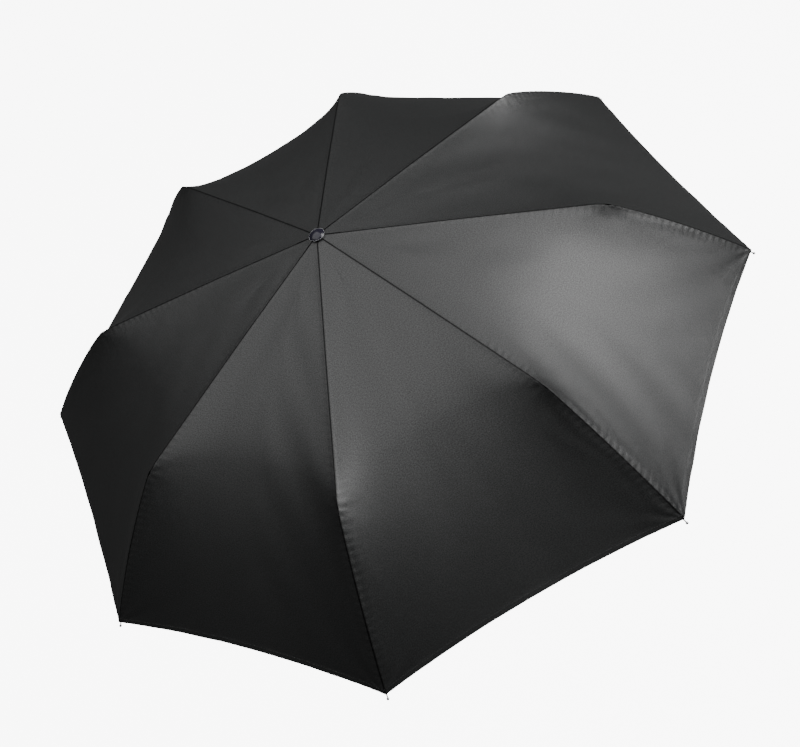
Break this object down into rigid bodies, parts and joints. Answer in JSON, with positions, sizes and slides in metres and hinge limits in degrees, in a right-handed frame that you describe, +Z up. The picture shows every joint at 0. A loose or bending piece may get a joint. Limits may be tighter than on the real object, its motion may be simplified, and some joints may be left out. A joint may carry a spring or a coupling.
{
  "type": "folding umbrella",
  "caption": "Compact three-fold umbrella, open: black cloth canopy on folding ribs, domed cap, telescopic shaft, sliding runner and short grip.",
  "frame": {"origin": "middle of the grip, on the shaft's axis", "axes": "+Z up the shaft to the cap; +X along rib 1; ribs numbered anticlockwise seen from above"},
  "size_m": [0.9884, 0.9884, 0.5425],
  "materials": {
    "grip_rubber": "soft-touch matte coating",
    "black_nylon": "moulded satin",
    "plated_tube": "bright plated steel",
    "spring_wire": "drawn wire",
    "cap_gloss": "high gloss",
    "cap_chrome": "mirror",
    "pongee": "plain-woven polyester pongee, satin",
    "hook_tape": "hook tape",
    "black_steel": "black e-coated steel, satin"
  },
  "bodies": {
    "handle": {"handle_grip": "grip_rubber", "handle_core": "black_nylon", "handle_end_cap": "black_nylon", "lower_tube": "plated_tube", "lower_tube_collar": "black_nylon"},
    "middle_shaft": {"middle_tube": "plated_tube", "middle_tube_bush": "black_nylon", "middle_tube_collar": "black_nylon"},
    "upper_shaft": {"upper_tube": "plated_tube", "upper_tube_bush": "black_nylon", "crown": "black_nylon", "crown_ring": "spring_wire", "cap": "cap_gloss", "cap_rim": "cap_chrome", "canopy": "pongee"},
    "runner": {"runner": "black_nylon", "runner_ring": "spring_wire"},
    "latch": {"runner_latch": "black_nylon"},
    "strut_1": {"strut_1": "black_steel"},
    "top_rib_1": {"top_rib_1": "black_steel"},
    "middle_rib_1": {"middle_rib_1": "black_steel", "link_wire_1": "spring_wire"},
    "outer_rib_1": {"outer_rib_1": "black_steel"},
    "strut_2": {"strut_2": "black_steel"},
    "top_rib_2": {"top_rib_2": "black_steel"},
    "middle_rib_2": {"middle_rib_2": "black_steel", "link_wire_2": "spring_wire"},
    "outer_rib_2": {"outer_rib_2": "black_steel"},
    "strut_3": {"strut_3": "black_steel"},
    "top_rib_3": {"top_rib_3": "black_steel"},
    "middle_rib_3": {"middle_rib_3": "black_steel", "link_wire_3": "spring_wire"},
    "outer_rib_3": {"outer_rib_3": "black_steel"},
    "strut_4": {"strut_4": "black_steel"},
    "top_rib_4": {"top_rib_4": "black_steel"},
    "middle_rib_4": {"middle_rib_4": "black_steel", "link_wire_4": "spring_wire"},
    "outer_rib_4": {"outer_rib_4": "black_steel", "tie_strap": "pongee", "tie_patch": "hook_tape"},
    "strut_5": {"strut_5": "black_steel"},
    "top_rib_5": {"top_rib_5": "black_steel"},
    "middle_rib_5": {"middle_rib_5": "black_steel", "link_wire_5": "spring_wire"},
    "outer_rib_5": {"outer_rib_5": "black_steel"},
    "strut_6": {"strut_6": "black_steel"},
    "top_rib_6": {"top_rib_6": "black_steel"},
    "middle_rib_6": {"middle_rib_6": "black_steel", "link_wire_6": "spring_wire"},
    "outer_rib_6": {"outer_rib_6": "black_steel"},
    "strut_7": {"strut_7": "black_steel"},
    "top_rib_7": {"top_rib_7": "black_steel"},
    "middle_rib_7": {"middle_rib_7": "black_steel", "link_wire_7": "spring_wire"},
    "outer_rib_7": {"outer_rib_7": "black_steel"},
    "strut_8": {"strut_8": "black_steel"},
    "top_rib_8": {"top_rib_8": "black_steel"},
    "middle_rib_8": {"middle_rib_8": "black_steel", "link_wire_8": "spring_wire"},
    "outer_rib_8": {"outer_rib_8": "black_steel"}
  },
  "joints": [
    {"name": "lower_slide", "type": "slide", "parent": "handle", "child": "middle_shaft", "axis": [0, 0, 1], "range_m": [-0.138, 0]},
    {"name": "upper_slide", "type": "slide", "parent": "middle_shaft", "child": "upper_shaft", "axis": [0, 0, 1], "range_m": [-0.14, 0]},
    {"name": "runner_slide", "type": "slide", "parent": "upper_shaft", "child": "runner", "axis": [0, 0, 1], "range_m": [-0.07744, 0], "deforming": ["canopy"]},
    {"name": "latch_press", "type": "hinge", "parent": "runner", "child": "latch", "pos_m": [0.00758, 0.00314, 0.4048], "axis": [-0.3827, 0.9239, 0], "range_deg": [0, 12], "stiffness_Nm_per_rad": 0.05},
    {"name": "strut_swing_1", "type": "hinge", "parent": "runner", "child": "strut_1", "pos_m": [0.011, 0, 0.416], "axis": [0, -1, 0], "range_deg": [0, 39.67]},
    {"name": "top_rib_fold_1", "type": "hinge", "parent": "upper_shaft", "child": "top_rib_1", "pos_m": [0.01, 0, 0.491], "axis": [0, -1, 0], "range_deg": [-69.57, 0]},
    {"name": "middle_rib_fold_1", "type": "hinge", "parent": "top_rib_1", "child": "middle_rib_1", "pos_m": [0.15039, 0, 0.46516], "axis": [0, -1, 0], "range_deg": [0, 174.94]},
    {"name": "outer_rib_fold_1", "type": "hinge", "parent": "middle_rib_1", "child": "outer_rib_1", "pos_m": [0.33449, 0, 0.42136], "axis": [0, -1, 0], "range_deg": [-149.15, 0]},
    {"name": "strut_swing_2", "type": "hinge", "parent": "runner", "child": "strut_2", "pos_m": [0.00778, 0.00778, 0.416], "axis": [0.7071, -0.7071, 0], "range_deg": [0, 39.67]},
    {"name": "top_rib_fold_2", "type": "hinge", "parent": "upper_shaft", "child": "top_rib_2", "pos_m": [0.00707, 0.00707, 0.491], "axis": [0.7071, -0.7071, 0], "range_deg": [-69.57, 0]},
    {"name": "middle_rib_fold_2", "type": "hinge", "parent": "top_rib_2", "child": "middle_rib_2", "pos_m": [0.10634, 0.10634, 0.46516], "axis": [0.7071, -0.7071, 0], "range_deg": [0, 174.94]},
    {"name": "outer_rib_fold_2", "type": "hinge", "parent": "middle_rib_2", "child": "outer_rib_2", "pos_m": [0.23652, 0.23652, 0.42136], "axis": [0.7071, -0.7071, 0], "range_deg": [-149.15, 0]},
    {"name": "strut_swing_3", "type": "hinge", "parent": "runner", "child": "strut_3", "pos_m": [0, 0.011, 0.416], "axis": [1, 0, 0], "range_deg": [0, 39.67]},
    {"name": "top_rib_fold_3", "type": "hinge", "parent": "upper_shaft", "child": "top_rib_3", "pos_m": [0, 0.01, 0.491], "axis": [1, 0, 0], "range_deg": [-69.57, 0]},
    {"name": "middle_rib_fold_3", "type": "hinge", "parent": "top_rib_3", "child": "middle_rib_3", "pos_m": [0, 0.15039, 0.46516], "axis": [1, 0, 0], "range_deg": [0, 174.94]},
    {"name": "outer_rib_fold_3", "type": "hinge", "parent": "middle_rib_3", "child": "outer_rib_3", "pos_m": [0, 0.33449, 0.42136], "axis": [1, 0, 0], "range_deg": [-149.15, 0]},
    {"name": "strut_swing_4", "type": "hinge", "parent": "runner", "child": "strut_4", "pos_m": [-0.00778, 0.00778, 0.416], "axis": [0.7071, 0.7071, 0], "range_deg": [0, 39.67]},
    {"name": "top_rib_fold_4", "type": "hinge", "parent": "upper_shaft", "child": "top_rib_4", "pos_m": [-0.00707, 0.00707, 0.491], "axis": [0.7071, 0.7071, 0], "range_deg": [-69.57, 0]},
    {"name": "middle_rib_fold_4", "type": "hinge", "parent": "top_rib_4", "child": "middle_rib_4", "pos_m": [-0.10634, 0.10634, 0.46516], "axis": [0.7071, 0.7071, 0], "range_deg": [0, 174.94]},
    {"name": "outer_rib_fold_4", "type": "hinge", "parent": "middle_rib_4", "child": "outer_rib_4", "pos_m": [-0.23652, 0.23652, 0.42136], "axis": [0.7071, 0.7071, 0], "range_deg": [-149.15, 0]},
    {"name": "strut_swing_5", "type": "hinge", "parent": "runner", "child": "strut_5", "pos_m": [-0.011, 0, 0.416], "axis": [0, 1, 0], "range_deg": [0, 39.67]},
    {"name": "top_rib_fold_5", "type": "hinge", "parent": "upper_shaft", "child": "top_rib_5", "pos_m": [-0.01, 0, 0.491], "axis": [0, 1, 0], "range_deg": [-69.57, 0]},
    {"name": "middle_rib_fold_5", "type": "hinge", "parent": "top_rib_5", "child": "middle_rib_5", "pos_m": [-0.15039, 0, 0.46516], "axis": [0, 1, 0], "range_deg": [0, 174.94]},
    {"name": "outer_rib_fold_5", "type": "hinge", "parent": "middle_rib_5", "child": "outer_rib_5", "pos_m": [-0.33449, 0, 0.42136], "axis": [0, 1, 0], "range_deg": [-149.15, 0]},
    {"name": "strut_swing_6", "type": "hinge", "parent": "runner", "child": "strut_6", "pos_m": [-0.00778, -0.00778, 0.416], "axis": [-0.7071, 0.7071, 0], "range_deg": [0, 39.67]},
    {"name": "top_rib_fold_6", "type": "hinge", "parent": "upper_shaft", "child": "top_rib_6", "pos_m": [-0.00707, -0.00707, 0.491], "axis": [-0.7071, 0.7071, 0], "range_deg": [-69.57, 0]},
    {"name": "middle_rib_fold_6", "type": "hinge", "parent": "top_rib_6", "child": "middle_rib_6", "pos_m": [-0.10634, -0.10634, 0.46516], "axis": [-0.7071, 0.7071, 0], "range_deg": [0, 174.94]},
    {"name": "outer_rib_fold_6", "type": "hinge", "parent": "middle_rib_6", "child": "outer_rib_6", "pos_m": [-0.23652, -0.23652, 0.42136], "axis": [-0.7071, 0.7071, 0], "range_deg": [-149.15, 0]},
    {"name": "strut_swing_7", "type": "hinge", "parent": "runner", "child": "strut_7", "pos_m": [0, -0.011, 0.416], "axis": [-1, 0, 0], "range_deg": [0, 39.67]},
    {"name": "top_rib_fold_7", "type": "hinge", "parent": "upper_shaft", "child": "top_rib_7", "pos_m": [0, -0.01, 0.491], "axis": [-1, 0, 0], "range_deg": [-69.57, 0]},
    {"name": "middle_rib_fold_7", "type": "hinge", "parent": "top_rib_7", "child": "middle_rib_7", "pos_m": [0, -0.15039, 0.46516], "axis": [-1, 0, 0], "range_deg": [0, 174.94]},
    {"name": "outer_rib_fold_7", "type": "hinge", "parent": "middle_rib_7", "child": "outer_rib_7", "pos_m": [0, -0.33449, 0.42136], "axis": [-1, 0, 0], "range_deg": [-149.15, 0]},
    {"name": "strut_swing_8", "type": "hinge", "parent": "runner", "child": "strut_8", "pos_m": [0.00778, -0.00778, 0.416], "axis": [-0.7071, -0.7071, 0], "range_deg": [0, 39.67]},
    {"name": "top_rib_fold_8", "type": "hinge", "parent": "upper_shaft", "child": "top_rib_8", "pos_m": [0.00707, -0.00707, 0.491], "axis": [-0.7071, -0.7071, 0], "range_deg": [-69.57, 0]},
    {"name": "middle_rib_fold_8", "type": "hinge", "parent": "top_rib_8", "child": "middle_rib_8", "pos_m": [0.10634, -0.10634, 0.46516], "axis": [-0.7071, -0.7071, 0], "range_deg": [0, 174.94]},
    {"name": "outer_rib_fold_8", "type": "hinge", "parent": "middle_rib_8", "child": "outer_rib_8", "pos_m": [0.23652, -0.23652, 0.42136], "axis": [-0.7071, -0.7071, 0], "range_deg": [-149.15, 0]}
  ],
  "couplings": [
    {"joint": "strut_swing_1", "follows": "runner_slide", "rad_per_m": -8.9394},
    {"joint": "top_rib_fold_1", "follows": "runner_slide", "rad_per_m": 15.678},
    {"joint": "middle_rib_fold_1", "follows": "runner_slide", "rad_per_m": -39.427},
    {"joint": "outer_rib_fold_1", "follows": "runner_slide", "rad_per_m": 33.615},
    {"joint": "strut_swing_2", "follows": "runner_slide", "rad_per_m": -8.9394},
    {"joint": "top_rib_fold_2", "follows": "runner_slide", "rad_per_m": 15.678},
    {"joint": "middle_rib_fold_2", "follows": "runner_slide", "rad_per_m": -39.427},
    {"joint": "outer_rib_fold_2", "follows": "runner_slide", "rad_per_m": 33.615},
    {"joint": "strut_swing_3", "follows": "runner_slide", "rad_per_m": -8.9394},
    {"joint": "top_rib_fold_3", "follows": "runner_slide", "rad_per_m": 15.678},
    {"joint": "middle_rib_fold_3", "follows": "runner_slide", "rad_per_m": -39.427},
    {"joint": "outer_rib_fold_3", "follows": "runner_slide", "rad_per_m": 33.615},
    {"joint": "strut_swing_4", "follows": "runner_slide", "rad_per_m": -8.9394},
    {"joint": "top_rib_fold_4", "follows": "runner_slide", "rad_per_m": 15.678},
    {"joint": "middle_rib_fold_4", "follows": "runner_slide", "rad_per_m": -39.427},
    {"joint": "outer_rib_fold_4", "follows": "runner_slide", "rad_per_m": 33.615},
    {"joint": "strut_swing_5", "follows": "runner_slide", "rad_per_m": -8.9394},
    {"joint": "top_rib_fold_5", "follows": "runner_slide", "rad_per_m": 15.678},
    {"joint": "middle_rib_fold_5", "follows": "runner_slide", "rad_per_m": -39.427},
    {"joint": "outer_rib_fold_5", "follows": "runner_slide", "rad_per_m": 33.615},
    {"joint": "strut_swing_6", "follows": "runner_slide", "rad_per_m": -8.9394},
    {"joint": "top_rib_fold_6", "follows": "runner_slide", "rad_per_m": 15.678},
    {"joint": "middle_rib_fold_6", "follows": "runner_slide", "rad_per_m": -39.427},
    {"joint": "outer_rib_fold_6", "follows": "runner_slide", "rad_per_m": 33.615},
    {"joint": "strut_swing_7", "follows": "runner_slide", "rad_per_m": -8.9394},
    {"joint": "top_rib_fold_7", "follows": "runner_slide", "rad_per_m": 15.678},
    {"joint": "middle_rib_fold_7", "follows": "runner_slide", "rad_per_m": -39.427},
    {"joint": "outer_rib_fold_7", "follows": "runner_slide", "rad_per_m": 33.615},
    {"joint": "strut_swing_8", "follows": "runner_slide", "rad_per_m": -8.9394},
    {"joint": "top_rib_fold_8", "follows": "runner_slide", "rad_per_m": 15.678},
    {"joint": "middle_rib_fold_8", "follows": "runner_slide", "rad_per_m": -39.427},
    {"joint": "outer_rib_fold_8", "follows": "runner_slide", "rad_per_m": 33.615}
  ]
}
